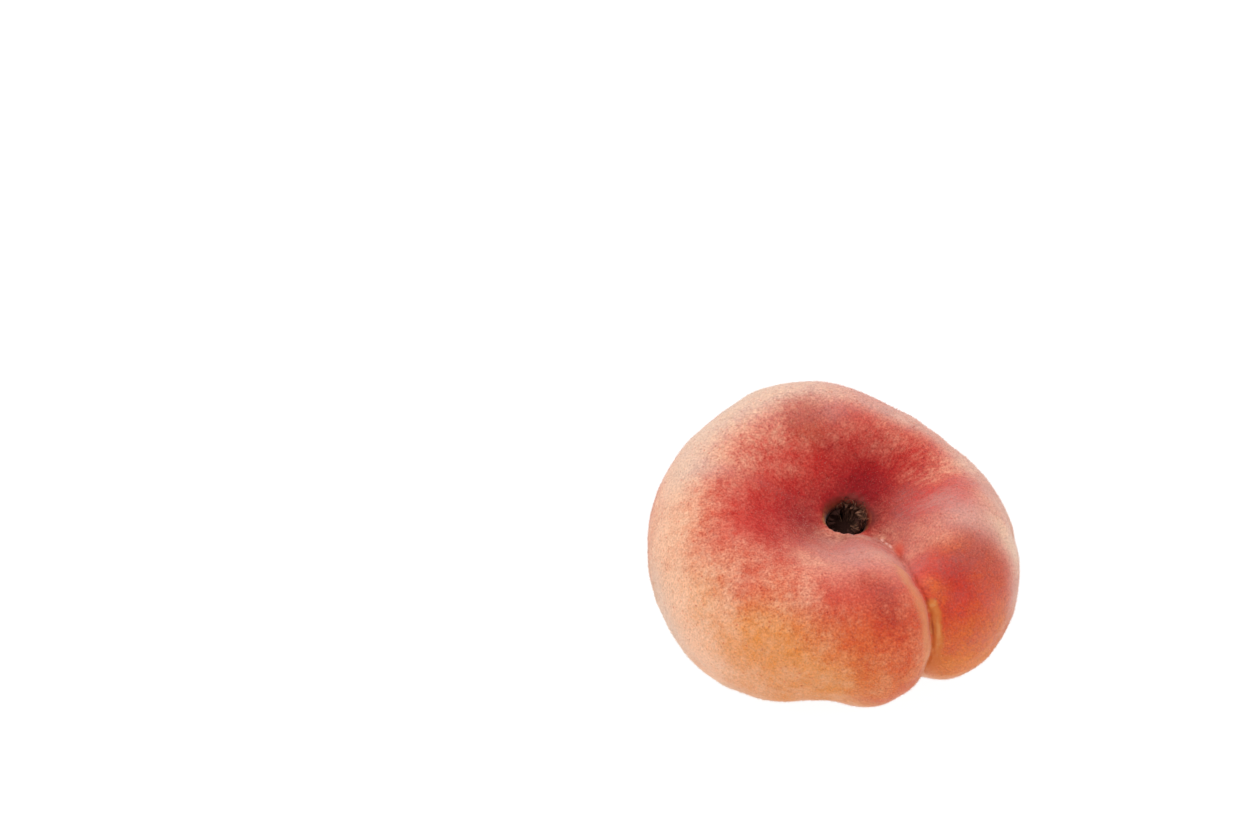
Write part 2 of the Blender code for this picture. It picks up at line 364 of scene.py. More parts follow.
class Shade:
    """One socket of a node tree. Operators on it add Math nodes, and node() adds any other."""

    def __init__(self, tree: bpy.types.NodeTree, socket: Any) -> None:
        """Wraps an output socket of a tree."""
        self.tree = tree
        self.socket = socket

    @staticmethod
    def node(
        tree: bpy.types.NodeTree,
        kind: str,
        settings: dict[str, Any] | None = None,
        inputs: dict[Any, Any] | None = None,
        output: int = 0,
    ) -> "Shade":
        """Adds a node, sets its settings first, then its sockets.

        Args:
            tree: node tree to add it to.
            kind: the node's type.
            settings: its properties.
            inputs: a value or a Shade for each socket, by name or number.
            output: number of the wrapped output.

        Returns:
            That output.
        """
        made = tree.nodes.new(kind)
        for name, value in (settings or {}).items():
            setattr(made, name, value)
        for name, value in (inputs or {}).items():
            socket = made.inputs[name]
            if isinstance(value, Shade):
                tree.links.new(value.socket, socket)
            elif isinstance(value, tuple) and len(value) == 3 and socket.type == "RGBA":
                socket.default_value = (*value, 1.0)
            else:
                socket.default_value = value
        return Shade(tree, made.outputs[output])

    def math(self, operation: str, *others: Any) -> "Shade":
        """A Math node on this socket and others."""
        inputs = dict(enumerate((self, *others)))
        return Shade.node(self.tree, "ShaderNodeMath", {"operation": operation}, inputs)

    def __add__(self, other: Any) -> "Shade":
        """self + other"""
        return self.math("ADD", other)

    __radd__ = __add__

    def __sub__(self, other: Any) -> "Shade":
        """self - other"""
        return self.math("SUBTRACT", other)

    def __rsub__(self, other: float) -> "Shade":
        """other - self"""
        return (self * -1.0) + other

    def __mul__(self, other: Any) -> "Shade":
        """self * other"""
        return self.math("MULTIPLY", other)

    __rmul__ = __mul__

    def scaled(self, factor: "Shade") -> "Shade":
        """This colour with all its channels times a factor."""
        settings = {"operation": "SCALE"}
        return Shade.node(self.tree, "ShaderNodeVectorMath", settings, {0: self, 3: factor})

    def step(self, low: float, high: float) -> "Shade":
        """0 below low, 1 above high, smooth between."""
        settings = {"interpolation_type": "SMOOTHSTEP", "clamp": True}
        return Shade.node(self.tree, "ShaderNodeMapRange", settings, {0: self, 1: low, 2: high})

    def mix(self, low: Any, high: Any, blend: str = "MIX") -> "Shade":
        """The colour low where this is 0 and high where it is 1."""
        settings = {"data_type": "RGBA", "blend_type": blend, "clamp_factor": True}
        inputs = {0: self, 6: low, 7: high}
        return Shade.node(self.tree, "ShaderNodeMix", settings, inputs, output=2)


@dataclass
class Finish:
    """A material and the helpers that its nodes are made with."""

    name: str
    material: bpy.types.Material = field(init=False)
    tree: bpy.types.NodeTree = field(init=False)
    shader: bpy.types.ShaderNode = field(init=False)
    place: Shade = field(init=False)

    def __post_init__(self) -> None:
        """Makes the material with its Principled shader and object coordinates."""
        self.material = bpy.data.materials.new(self.name)
        self.material.use_nodes = True
        self.tree = self.material.node_tree
        self.shader = self.tree.nodes["Principled BSDF"]
        self.place = Shade.node(self.tree, "ShaderNodeTexCoord", output=3)
        self.dress()

    def dress(self) -> None:
        """Adds the nodes. Each finish has its own."""

    def noise(self, size: float, detail: float, roughness: float, place: Shade | None = None) -> Shade:
        """Noise of 0 to 1 in lumps of size millimetres, at object coordinates or another place."""
        inputs = self.cells(size, place) | {"Detail": detail, "Roughness": roughness}
        return Shade.node(self.tree, "ShaderNodeTexNoise", None, inputs)

    def cells(self, size: float, place: Shade | None = None) -> dict[str, Any]:
        """Inputs of a texture whose cells are size millimetres wide."""
        return {"Vector": place or self.place, "Scale": 1 / (size * MM)}

    def attribute(self, name: str, output: int = 2) -> Shade:
        """What the mesh stores at its points: a value, or with output 1 a vector."""
        return Shade.node(self.tree, "ShaderNodeAttribute", {"attribute_name": name}, output=output)

    def constant(self, **values: Any) -> None:
        """Sets the shader's sockets, named with underscores for spaces."""
        for name, value in values.items():
            self.shader.inputs[name.replace("_", " ")].default_value = value

    def feed(self, socket: str, value: Shade) -> None:
        """Links a value to one of the shader's sockets."""
        self.tree.links.new(value.socket, self.shader.inputs[socket])

    def bump(self, height: Shade, strength: float, distance: float) -> None:
        """Feeds the shader's normal from a height, with its depth in millimetres."""
        inputs = {"Height": height, "Strength": strength, "Distance": distance * MM}
        self.feed("Normal", Shade.node(self.tree, "ShaderNodeBump", None, inputs))


@dataclass(frozen=True)
class Layer:
    """A colour laid over the skin where a mask, frayed by noises, passes from low to high."""

    mask: str
    low: float
    high: float
    most: float
    colour: Colour
    frays: dict[str, float]


@dataclass(frozen=True)
class Speckle:
    """Dots at the middles of Voronoi cells, solid to inner and gone at outer, in shares of a cell."""

    spacing: float
    inner: float
    outer: float
    share: float
    colour: Colour


class PeachSkin(Finish):
    """Red blush over a yellow-orange ground, speckle, greyish patches of own tone and painted sheen,
    painted shade in the hole, and a soft sheen.
    """

    PALE_GROUND, OCHRE_GROUND = srgb(239, 188, 156), srgb(224, 136, 61)
    RED_ON_PALE, RED_ON_OCHRE = srgb(199, 35, 28), srgb(203, 51, 33)
    STRIP_LIGHT = srgb(219, 141, 80)
    # The hole's ochre, and the near-black of the painted shade deep in the hole.
    HOLE_OCHRE, HOLE_DEEP = srgb(176, 106, 58), srgb(46, 22, 17)
    GLAZES = (
        Layer("crimson", 0.05, 1.1, 1.0, srgb(143, 10, 22), {"ragged": 0.4}),
        # Greyish pale patches: partly the skin's own grey tone, partly painted sheen where the down pales
        # the rims.
        Layer("bloom", 0.1, 1.1, 0.6, srgb(206, 193, 182), {"ragged": 0.6}),
        Layer("smudge", 0.2, 1.1, 0.5, srgb(172, 45, 10), {"ragged": 0.5}),
    )
    SPECKLES = (
        Speckle(0.9, 0.12, 0.24, 0.5, srgb(216, 150, 136)),
        Speckle(1.6, 0.07, 0.18, 0.5, srgb(222, 120, 110)),
    )
    GRAIN_CONTRAST = 1.05
    MARKS = (
        Layer("rim", 0.2, 1.1, 0.55, srgb(227, 163, 110), {"ragged": 0.5}),
        Layer("raw", 0.1, 1.0, 0.75, srgb(212, 86, 62), {"ragged": 0.5}),
        Layer("gold", 0.15, 0.75, 1.0, srgb(211, 117, 55), {"mottle": 0.7}),
        Layer("cork", 0.35, 0.9, 0.8, srgb(234, 180, 166), {"grain": 1.2}),
        Layer("crack", 0.1, 1.1, 0.5, srgb(152, 56, 34), {}),
        # Painted shade: a dark red ring round the hole's rim, weaker in front.
        Layer("dusk", 0.1, 1.0, 0.75, srgb(112, 30, 25), {"ragged": 0.4}),
        # Brownish haze at the hole's rim, and painted shade on the near lip below the hole.
        Layer("haze", 0.15, 1.0, 0.55, srgb(124, 56, 48), {"mottle": 1.2, "grain": 1.0}),
        Layer("scar", 0.2, 0.9, 1.0, srgb(138, 50, 36), {"mottle": 0.9, "grain": 0.6}),
    )
    noises: dict[str, Shade]

    def fray(self, **weights: float) -> Shade:
        """The sum of the named noises, each times its weight."""
        first, *rest = (self.noises[name] * weight for name, weight in weights.items())
        return sum(rest, first)

    def lay(self, under: Shade, layer: Layer, colour: Shade | None = None) -> Shade:
        """Lays a layer over a colour.

        Args:
            under: the colour so far.
            layer: the layer.
            colour: what it shows, where that isn't its own plain colour.

        Returns:
            The colour with the layer on it.
        """
        mask = self.attribute(layer.mask)
        if layer.frays:
            mask = mask + self.fray(**layer.frays)
        return (mask.step(layer.low, layer.high) * layer.most).mix(under, colour or layer.colour)

    def ragged(self) -> Shade:
        """The noise of most edges: lumps of three sizes, streaks where the down is combed, and tufts."""
        plain = self.fray(blotch=0.75, mottle=0.35, grain=0.45)
        combed = self.fray(streak=0.9) * self.attribute("combed")
        return plain + combed + self.fray(mottle=0.7) * self.attribute("matted")

    def dress(self) -> None:
        """Blends the ground, the blush and the layers by the mesh's masks, frayed by noise."""
        self.noises = {
            "blotch": self.noise(4.5, 3.0, 0.55) - 0.5,
            "mottle": self.noise(1.1, 3.0, 0.6) - 0.5,
            "grain": self.noise(0.42, 2.0, 0.7) - 0.5,
            "streak": self.noise(0.8, 2.0, 0.5, self.attribute("fan", output=1)) - 0.5,
        }
        self.noises["ragged"] = self.ragged()
        grain, mottle = self.noises["grain"], self.noises["mottle"]

        warm = (self.attribute("warm") + self.fray(blotch=0.7, mottle=0.4)).step(0.05, 0.95)
        red_share = self.attribute("blush")
        # Strong red frays about half as much as faint red.
        edge = self.noises["ragged"] * (1.1 - red_share.step(0.2, 1.2) * 0.6)
        colour = (red_share + edge).step(-0.05, 1.05).mix(
            warm.mix(self.PALE_GROUND, self.OCHRE_GROUND), warm.mix(self.RED_ON_PALE, self.RED_ON_OCHRE)
        )
        for layer in self.GLAZES:
            colour = self.lay(colour, layer)
        for dots in self.SPECKLES:
            away = Shade.node(self.tree, "ShaderNodeTexVoronoi", None, self.cells(dots.spacing))
            share = (1.0 - away.step(dots.inner, dots.outer)) * dots.share
            colour = share.mix(colour, dots.colour, "MULTIPLY")
        colour = colour.scaled(1.0 - grain * self.GRAIN_CONTRAST)

        shine = (self.attribute("shine") + self.fray(mottle=1.2, grain=0.6)).step(0.2, 0.9)
        ochre = (mottle + self.attribute("ochre")).step(-0.05, 0.5)
        for layer in self.MARKS:
            top = None
            if layer.mask == "gold":
                top = shine.mix(layer.colour, self.STRIP_LIGHT)
            # The scar turns near-black deeper in the hole: painted shade.
            elif layer.mask == "scar":
                top = self.attribute("deep").mix(ochre.mix(layer.colour, self.HOLE_OCHRE), self.HOLE_DEEP)
            colour = self.lay(colour, layer, top)

        self.feed("Base Color", colour)
        self.feed("Roughness", 0.68 + 0.2 * grain)
        self.bump(grain * 0.6 + mottle * 0.4, strength=0.35, distance=0.25)
        self.constant(
            Metallic=0.0,
            Specular_IOR_Level=0.2,
            Sheen_Weight=0.45,
            Sheen_Roughness=0.3,
            Sheen_Tint=(*srgb(255, 236, 228), 1.0),
        )


class DownTone(Enum):
    """The down's colours: pale on pale skin, golden on the ochre ground, rosy on red."""

    PALE = srgb(250, 226, 208)
    GOLDEN = srgb(244, 190, 130)
    ROSY = srgb(236, 150, 132)


@dataclass
class Down(Finish):
    """The short hairs."""

    tone: DownTone = DownTone.PALE

    def dress(self) -> None:
        """Blends the pale hairs' tones by the skin's masks at the root: the skin shines through."""
        if self.tone is DownTone.PALE:
            ground = self.attribute("warm").mix(DownTone.PALE.value, DownTone.GOLDEN.value)
            self.feed("Base Color", (self.attribute("blush") * 0.8).mix(ground, DownTone.ROSY.value))
        else:
            self.constant(Base_Color=(*self.tone.value, 1.0))
        self.constant(Roughness=0.7, Specular_IOR_Level=0.2)


class DriedBlossom(Finish):
    """Brown papery shreds and fibres, darker deep in the hole."""

    DARK, STRAW, CRUMB = srgb(48, 22, 15), srgb(184, 134, 106), srgb(84, 40, 28)

    def dress(self) -> None:
        """Mixes dark and straw browns by noise and by the paleness that the mesh stores."""
        streak = self.noise(0.55, 3.0, 0.6)
        crumb = self.noise(0.2, 2.0, 0.5)
        pale = (self.attribute("pale") + (streak - 0.5) * 0.6).step(0.1, 1.0)
        colour = pale.mix(self.DARK, self.STRAW)
        self.feed("Base Color", (crumb.step(0.55, 0.8) * 0.4).mix(colour, self.CRUMB))
        self.feed("Roughness", 0.75 + 0.2 * streak)
        self.bump(streak + crumb, 0.5, 0.12)
        self.constant(Specular_IOR_Level=0.2)


class StemWood(Finish):
    """Dull greenish-brown bark with long streaks, and a straw-coloured torn end."""

    DARK_BARK, PALE_BARK, PITH = srgb(74, 58, 34), srgb(142, 122, 72), srgb(176, 150, 104)

    def dress(self) -> None:
        """Stretches noise along the stub for the bark, and shows pith at the torn end."""
        inputs = {"Vector": self.place, "Scale": (1.0, 1.0, 0.22)}
        long_way = Shade.node(self.tree, "ShaderNodeMapping", None, inputs)
        streak = self.noise(0.35, 3.0, 0.6, long_way)
        patch = self.noise(1.4, 2.0, 0.5)
        bark = (streak * 0.7 + patch * 0.3).step(0.35, 0.65)
        torn = (self.attribute("torn") + (patch - 0.5) * 0.4).step(0.4, 0.7)
        self.feed("Base Color", torn.mix(bark.mix(self.DARK_BARK, self.PALE_BARK), self.PITH))
        self.feed("Roughness", 0.7 + 0.25 * streak)
        self.bump(streak, 0.7, 0.2)
        self.constant(Specular_IOR_Level=0.25)


def add_object(name: str, data: Any) -> Piece:
    """Makes an object of a mesh, a light or a camera, linked to the scene."""
    made = bpy.data.objects.new(name, data)
    bpy.context.scene.collection.objects.link(made)
    return made


def add_mesh(name: str, points: Array, faces: list[Array], finish: Finish) -> Piece:
    """Makes an object at the origin from points in millimetres and arrays of faces.

    Args:
        name: of the object.
        points: (n, 3) array in millimetres.
        faces: arrays of vertex numbers, each of shape (faces, corners).
        finish: its material.

    Returns:
        The object, smooth and linked to the scene.
    """
    mesh = bpy.data.meshes.new(name)
    loops = np.concatenate([group.ravel() for group in faces]).astype(np.int32)
    totals = np.concatenate([np.full(len(group), group.shape[1]) for group in faces])
    starts = np.concatenate([[0], np.cumsum(totals)[:-1]])
    mesh.vertices.add(len(points))
    mesh.vertices.foreach_set("co", (points * MM).astype(np.float32).ravel())
    mesh.loops.add(len(loops))
    mesh.loops.foreach_set("vertex_index", loops)
    mesh.polygons.add(len(totals))
    mesh.polygons.foreach_set("loop_start", starts.astype(np.int32))
    mesh.update(calc_edges=True)
    mesh.validate()
    mesh.shade_smooth()
    mesh.materials.append(finish.material)
    return add_object(name, mesh)


def store(made: Piece, name: str, values: Array) -> None:
    """Stores a value or a vector for each point of the mesh."""
    kind, key = ("FLOAT", "value") if values.ndim == 1 else ("FLOAT_VECTOR", "vector")
    layer = made.data.attributes.new(name, kind, "POINT")
    layer.data.foreach_set(key, np.asarray(values, np.float32).ravel())


def closed_faces(rows: int, columns: int) -> list[Array]:
    """Faces of a closed surface: a pole, rows - 1 rings of columns points, and a pole, downwards.

    Args:
        rows: steps from pole to pole.
        columns: points round a ring.

    Returns:
        The first fan, the quads between the rings and the last fan, facing out for rings that run
        anticlockwise seen from the first pole.
    """
    here = np.arange(columns)
    after = (here + 1) % columns
    ring = 1 + np.arange(rows - 2)[:, None] * columns
    last = 1 + (rows - 2) * columns
    first_fan = np.stack([np.zeros_like(here), 1 + here, 1 + after], axis=-1)
    corners = [ring + here, ring + columns + here, ring + columns + after, ring + after]
    quads = np.stack(corners, axis=-1).reshape(-1, 4)
    last_fan = np.stack([last + here, np.full_like(here, last + columns), last + after], axis=-1)
    return [first_fan, quads, last_fan]


def flat_list(grid: Array) -> Array:
    """A grid's values as closed_faces numbers them: one at each pole, and all of each ring."""
    inner = grid[1:-1].reshape(-1, *grid.shape[2:])
    return np.concatenate([grid[:1, 0], inner, grid[-1:, 0]])


def grid_normals(points: Array) -> Array:
    """Normals of a grid that closes round its columns: the cross product of its two slopes."""
    down = np.gradient(points, axis=0)
    round_it = (np.roll(points, -1, axis=1) - np.roll(points, 1, axis=1)) / 2
    normal = unit(np.cross(down, round_it))
    normal[0], normal[-1] = unit(normal[1].mean(axis=0)), unit(normal[-2].mean(axis=0))
    return normal


@dataclass(frozen=True)
class Tint:
    """A mottled mask: its most, the unseen side's guess and how far that varies, and the patches seen."""

    most: float
    guess: float
    varied: float
    seen: tuple[Patch, ...]


TINTS = {
    "blush": Tint(2.0, 0.42, 0.2, patches(
        (18, 4.1, 400, 2.2, 0.76), (63, 7.4, 89, 2.3, 0.75), (37, 11, 18, 2.8, 0.5),
        (155, 7.5, 58, 3.5, 0.43), (-157, 10.8, 9, 1.9, 0.17), (-158, 9.1, 37, 1.6, 0.55),
        (-133, 12.3, 6, 1.9, 0.44), (-87, 10.7, 35, 3.5, 0.78), (-26, 11.4, 25, 2.7, 0.72),
        (-2, 9, 14, 1.6, 0.83), (-89, 7.7, 86, 1, 0.42), (79, 9.5, 33, 0.5, 0.22),
        (78, 12.6, 25, 2.5, 1), (133, 13.9, 51, 2.9, 1.13), (-112, 11.2, 24, 0.6, -0.27),
        (134, 11.6, 48, 1.1, -0.73), (-52, 10.3, 11, 1.5, 0.79), (-15, 11.9, 6, 0.8, -0.59),
        (-123, 13.1, 30, 1.2, -1.5), (10, 11.1, 9, 1.6, 0.43), (-130, 10.7, 26, 0.5, 0.14),
        (-80, 13.4, 16, 0.6, 0.27), (-53, 10.5, 6, 0.8, -0.61),
    )),
    "crimson": Tint(1.5, 0.05, 0.04, patches(
        (68, 5.3, 132, 1.4, 0.65), (67, 7.7, 48, 2.8, 0.41), (-153, 8.4, 51, 1.9, 0.43),
        (-175, 6.6, 63, 1.3, 0.49), (-16, 6.9, 112, 1.5, 0.45), (-39, 10.6, 17, 0.9, 0.54),
        (-77, 10.7, 8, 0.7, 0.53), (105, 8.2, 10, 0.5, 0.26),
    )),
    # Greyish pale patches, partly the skin's own grey tone and partly painted sheen at the rims and on
    # the near lip.
    "bloom": Tint(0.75, 0.42, 0.16, patches(
        (-92, 8.6, 60, 2, 0.77), (-19, 10.4, 13, 1.2, 0.48), (-2, 9.2, 14, 0.9, 0.49),
        (168, 9.4, 7, 2.1, 0.4), (107, 9.3, 27, 0.6, 0.36), (102, 11.2, 102, 1.3, 1.12),
        (89, 12.8, 51, 1.4, 0.29), (38, 12.5, 38, 1.9, 0.59), (10, 12.9, 54, 0.9, 1.01),
        (-159, 13.5, 19, 1.2, 1.06), (-148, 10.2, 56, 2.2, -0.55), (-60, 13.4, 19, 0.6, -0.41),
        (-110, 6.8, 24, 0.6, 0.16), (-2, 7.5, 33, 1.2, 0.37),
    )),
    "smudge": Tint(1.5, 0.0, 0.0, patches(
        (-29, 11, 9, 1.3, 0.92), (-83, 10, 13, 0.5, 0.84), (-159, 6.7, 24, 0.8, 0.11),
        (115, 9.2, 16, 1.2, 1.24), (-27, 10.4, 6, 0.5, 0.18),
    )),
    "warm": Tint(1.5, 0.5, 0.12, patches(
        (-114, 12.4, 25, 2.4, 0.72), (-84, 11.5, 14, 1.3, 0.6), (-43, 11.1, 24, 1.7, 1.37),
        (-1, 13.5, 399, 1.1, 0.95), (88, 11.9, 67, 3, -0.68), (-127, 13.3, 41, 1, -0.98),
        (-20, 12.7, 12, 1, -0.95), (-160, 10.7, 39, 2, 0.35), (-21, 9.6, 16, 0.9, -0.27),
        (-46, 13.4, 13, 0.8, 0.38),
    )),
}


@dataclass
class Skin:
    """The fruit's skin: the form at fine steps, with low relief, and the masks of its colours."""

    form: FruitForm
    stand: Stand
    rows: int = 280
    columns: int = 340
    undulation: float = 0.1
    pebble: float = 0.02
    smooth_foot: tuple = (Fade(15.0, 1.0), Fade(18.0, 1.0))
    creases: int = 17
    crease_height: float = 0.1
    crease_wander: float = 1.3
    creased: tuple = (Fade(4.5, 1.0), Fade(6.0, 2.2))
    slit_depth: float = 0.25
    cork_height: float = 0.12
    shine_height: float = 0.04
    strip_roughness: float = 0.05
    crack_depth: float = 0.03
    near_lip: Patch = Patch(-95, 5.2, 55, 0.9, 0.5)
    combed_radius: float = 20.0
    combed_length: float = 1.5
    behind: float = 110.0
    left: float = -162.0
    left_width: float = 26.0
    scar_station: float = 4.4
    scar_left: float = 0.8
    scar_softness: float = 0.35
    scar_softness_behind: float = 1.5
    scar_frays: tuple = patches((140, 5, 30, 9, 0.35), (5, 5, 35, 9, 0.5))
    # Painted shade round the hole's rim: the station where it peaks, how far it spreads, and its share in
    # front.
    rim_shade_station: float = 4.65
    rim_shade_along: float = 0.85
    rim_shade_in_front: float = 0.25
    ochre_left: float = 0.5
    # More of that painted shade at the hole's right rim.
    right_rim_shade: Patch = Patch(5, 4.8, 30, 0.6, 0.9)
    # Stations over which the painted shade deep in the hole fades out.
    deep: Fade = Fade(2.4, 1.7)
    combed: Patch = Patch(15, 8.2, 48, 2.6, 1.0)
    matted: Patch = Patch(122, 10.0, 42, 1.7, 1.0)
    # Brownish haze at the hole's rim behind and to the right; the last patch is painted shade on the near
    # lip.
    hazes_and_shade: tuple = patches((68, 5.3, 34, 0.8, 0.8), (2, 5.4, 28, 0.7, 0.9), (-98, 6.3, 32, 0.6, 0.75))
    seen_from: tuple = (0.0, -0.68, 0.73)
    seen: Fade = Fade(-0.45, 0.55)
    seen_wander: float = 0.2
    seen_well: Fade = Fade(0.0, 0.3)
    points: Array = field(init=False)
    normals: Array = field(init=False)
    around: Array = field(init=False)
    station: Array = field(init=False)

    def relief(self, points: Array) -> Array:
        """Low relief in millimetres, along the normal.

        Broad undulation and a fine pebble, both sums of sine waves, creases that run out of the hole as
        the cosine of a multiple of the direction, the near lip, and a sharp slit along the cleft's floor
        with small corky ridges.

        Args:
            points: the grid before the relief.

        Returns:
            Its height at each point.
        """
        broad = Ripples(8.0, seed=3).at(points) * self.undulation
        fine = Ripples(1.4, seed=4, count=30).at(points) * self.pebble
        wander = self.crease_wander * Ripples(6.0, seed=5).at(points)
        spokes = np.cos(np.radians(self.creases * self.around) + wander)
        creases = self.crease_height * spokes * between(self.station, *self.creased)
        slit = -self.slit_depth * self.along_cleft(0.15, 0.35, 6.0, 13.5, ragged=0.12)
        crust = self.cork_height * self.cork() + self.shine_height * self.shine()
        crust = crust + self.strip_roughness * self.gold() * Ripples(0.9, seed=8).at(points)
        lip = self.spread(self.near_lip)
        details = slit + crust + lip - self.crack_depth * np.minimum(self.crack(), 1)
        return (broad + fine) * (1 - between(self.station, *self.smooth_foot)) + creases + details

    def spread(self, *places: Patch) -> Array:
        """The sum of patches on the grid."""
        return patched(places, self.around, self.station)

    def along_cleft(
        self, arc: float, width: float, start: float, end: float, ragged: float = 0.0
    ) -> Array:
        """A band beside the cleft's floor: exp(-((arc length - arc) / width)^2), between two stations.

        Args:
            arc: millimetres right of the floor.
            width: millimetres.
            start: station where it fades in.
            end: station where it has faded out.
            ragged: how far its line wanders, in millimetres.

        Returns:
            Its strength on the grid.
        """
        wander = ragged * np.sin(7.3 * self.station + 1.1) + 0.6 * ragged * np.sin(17.9 * self.station)
        across = (self.form.arc(self.around, self.station) - arc - wander) / width
        return bell(across) * between(self.station, Fade(start, 0.5), Fade(end - 0.5, 0.5))

    def gold(self) -> Array:
        """The ochre strip at the cleft's low end."""
        low = self.along_cleft(0.6, 1.7, 12.3, 14.6, ragged=0.2)
        return np.maximum(self.along_cleft(1.1, 1.05, 10.55, 13.2, ragged=0.15), 0.8 * low)

    def shine(self) -> Array:
        """The paler marks in that strip: a line at its edge, a fork at its top, a blotch by the crack."""
        line = self.along_cleft(0.12, 0.2, 10.7, 12.8)
        fork = ((1.0, 11.0, 0.7, 0.07), (1.8, 10.85, 0.25, 0.1), (1.3, 11.8, 0.4, 0.5))
        return np.maximum(line, self.spots(fork))

    def crack(self) -> Array:
        """The dark crack in that strip, and the dark ends of the raw slits above it."""
        upper = ((0.1, 8.05, 0.28, 0.2), (0.45, 9.85, 0.35, 0.18))
        lower = ((0.6, 10.3, 0.25, 0.12), (0.6, 10.78, 0.35, 0.12))
        main = 1.2 * self.along_cleft(0.5, 0.2, 11.2, 12.2, ragged=0.06)
        return main + self.spots(upper + lower)

    def spots(self, places: Iterable[tuple[float, float, float, float]]) -> Array:
        """Small oval spots beside the cleft's floor.

        Args:
            places: arc length, station, width in millimetres and length in stations of each.

        Returns:
            The sum of exp(-(arc / width)^2 - (stations / length)^2) of all, on the grid.
        """
        arc = self.form.arc(self.around, self.station)
        return sum(
            np.exp(-(((arc - beside) / wide) ** 2) - ((self.station - at) / tall) ** 2)
            for beside, at, wide, tall in places
        )

    def cork(self) -> Array:
        """Small corky marks on the cleft's edge near the hole."""
        return self.spots(((0.15, 6.55, 0.3, 0.16), (0.1, 6.85, 0.2, 0.08), (0.15, 7.15, 0.35, 0.2)))

    def raw(self) -> Array:
        """Two raw red slits where the skin has just opened beside the lip."""
        return self.spots(((0.75, 7.75, 1.3, 0.42), (0.6, 10.05, 0.5, 0.4)))

    def build(self, finish: Finish) -> Piece:
        """Makes the skin and stores its masks.

        Args:
            finish: its material.

        Returns:
            The object, which replaces the CAD fruit.
        """
        self.around, t = self.form.grid(self.rows, self.columns)
        self.station = t * self.form.last_station
        plain = self.form.own(self.around, t)
        lifted = plain + grid_normals(plain) * self.relief(plain)[..., None]
        lifted[0], lifted[-1] = lifted[0].mean(axis=0), lifted[-1].mean(axis=0)
        self.points = self.stand.place(lifted, press=True)
        self.normals = grid_normals(self.points)
        made = add_mesh("skin", flat_list(self.points), closed_faces(self.rows, self.columns), finish)
        for name, mask in self.masks().items():
            store(made, name, flat_list(mask))
        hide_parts("fruit")
        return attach(made, ROOT)

    def mask(self, name: str) -> Array:
        """A tint's mask on the grid, faded to a guess on the side that the photograph doesn't show.

        The guess is a plain value plus a broad sum of sine waves. The fade is an S curve of the cosine
        between the normal and the direction that the photograph was taken from, and its edge wanders by
        another such sum.

        Args:
            name: of the tint.

        Returns:
            Its strength at each point.
        """
        tint = TINTS[name]
        guess = tint.guess + tint.varied * Ripples(34.0, seed=6).at(self.points)
        facing = self.normals @ np.array(self.seen_from)
        wander = self.seen_wander * Ripples(16.0, seed=9).at(self.points)
        seen = self.seen.at(facing + wander * (1 - self.seen_well.at(facing)))
        found = np.minimum(self.spread(*tint.seen), tint.most)
        return found * seen + guess * (1 - seen)

    def masks(self) -> dict[str, Array]:
        """Every mask of the skin's colours, on the grid.

        The scar in the hole ends at a station that is later behind and to the left, with a softer edge
        behind. The fan unrolls the skin round the hole, so that noise read there makes streaks.
        """
        behind = 0.5 + 0.5 * np.cos(np.radians(self.around - self.behind))
        left = bell(turn(self.around - self.left) / self.left_width)
        edge = self.scar_station + behind + self.scar_left * left + self.spread(*self.scar_frays)
        width = self.scar_softness + self.scar_softness_behind * behind
        # Painted shade: a ring just inside the hole's rim, full behind and a quarter as strong in front.
        dusk = self.rim_shade_in_front + (1 - self.rim_shade_in_front) * behind
        dusk = dusk * bell((self.station - self.rim_shade_station) / self.rim_shade_along)
        fan = carried(self.combed_radius, np.radians(self.around), self.combed_length * self.station)
        return {
            "gold": self.gold(),
            "shine": self.shine(),
            "crack": self.crack(),
            "cork": self.cork(),
            "raw": self.raw(),
            "rim": self.along_cleft(-1.8, 1.7, 9.0, 14.8, ragged=0.15),
            "scar": 1 - smooth_step((self.station - edge + width) / width),
            "deep": 1 - self.deep.at(self.station),
            "ochre": self.ochre_left * left,
            "dusk": dusk + self.spread(self.right_rim_shade),
            "haze": self.spread(*self.hazes_and_shade),
            "combed": self.spread(self.combed),
            "matted": self.spread(self.matted),
            "fan": fan * MM,
            **{name: self.mask(name) for name in TINTS},
        }


